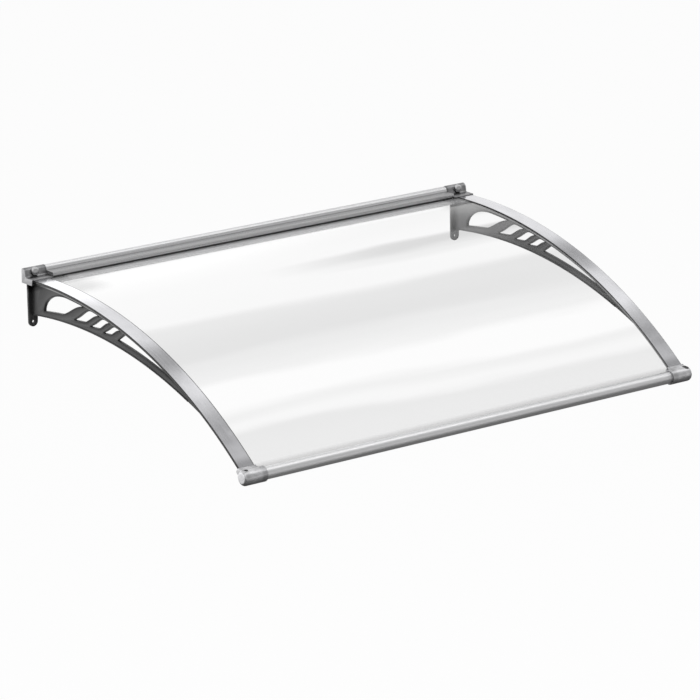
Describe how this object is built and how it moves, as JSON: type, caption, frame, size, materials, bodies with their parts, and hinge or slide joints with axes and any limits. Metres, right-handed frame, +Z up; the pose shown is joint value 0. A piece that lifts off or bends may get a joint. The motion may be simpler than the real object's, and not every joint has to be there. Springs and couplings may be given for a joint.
{
  "type": "door canopy",
  "caption": "Wall-mounted door canopy: arched clear sheet between a wall rail and a round front bar, on cast brackets with S-shaped cut-outs, steel strips along its edges.",
  "frame": {"origin": "on the wall plane, on the wall rail's flat back face at mid-width, at the height of the crown of the sheet's middle surface", "axes": "+X along the wall to the viewer's right, +Y into the wall (the canopy reaches out towards -Y), +Z up"},
  "size_m": [1.5, 0.95, 0.3681],
  "materials": {
    "rail_aluminium": "satin anodised extrusion",
    "bar_aluminium": "satin anodised extrusion",
    "front_cap": "satin cast end cap",
    "cast_cap": "satin cast end cap",
    "cast_bracket": "dark grey cast aluminium, fine satin skin",
    "brushed_stainless": "brushed along its length",
    "bolt_steel": "polished domed head",
    "black_rubber": "matt rubber",
    "black_screw": "black oxide screw",
    "clear_sheet": "clear solid polycarbonate"
  },
  "bodies": {
    "root": {"wall_rail": "rail_aluminium", "rail_upper_seal": "black_rubber", "rail_lower_seal": "black_rubber", "rail_end_cap_left": "cast_cap", "rail_end_cap_right": "cast_cap", "cap_bolt_left": "bolt_steel", "cap_bolt_right": "bolt_steel", "cap_washer_left": "black_rubber", "cap_washer_right": "black_rubber", "bracket_left": "cast_bracket", "bracket_right": "cast_bracket", "arm_seal_left": "black_rubber", "arm_seal_right": "black_rubber", "canopy_sheet": "clear_sheet", "cover_strip_left": "brushed_stainless", "cover_strip_right": "brushed_stainless", "front_bar": "bar_aluminium", "front_upper_seal": "black_rubber", "front_lower_seal": "black_rubber", "front_end_cap_left": "front_cap", "front_end_cap_right": "front_cap", "front_cap_screw_left": "black_screw", "front_cap_screw_right": "black_screw"}
  },
  "joints": []
}
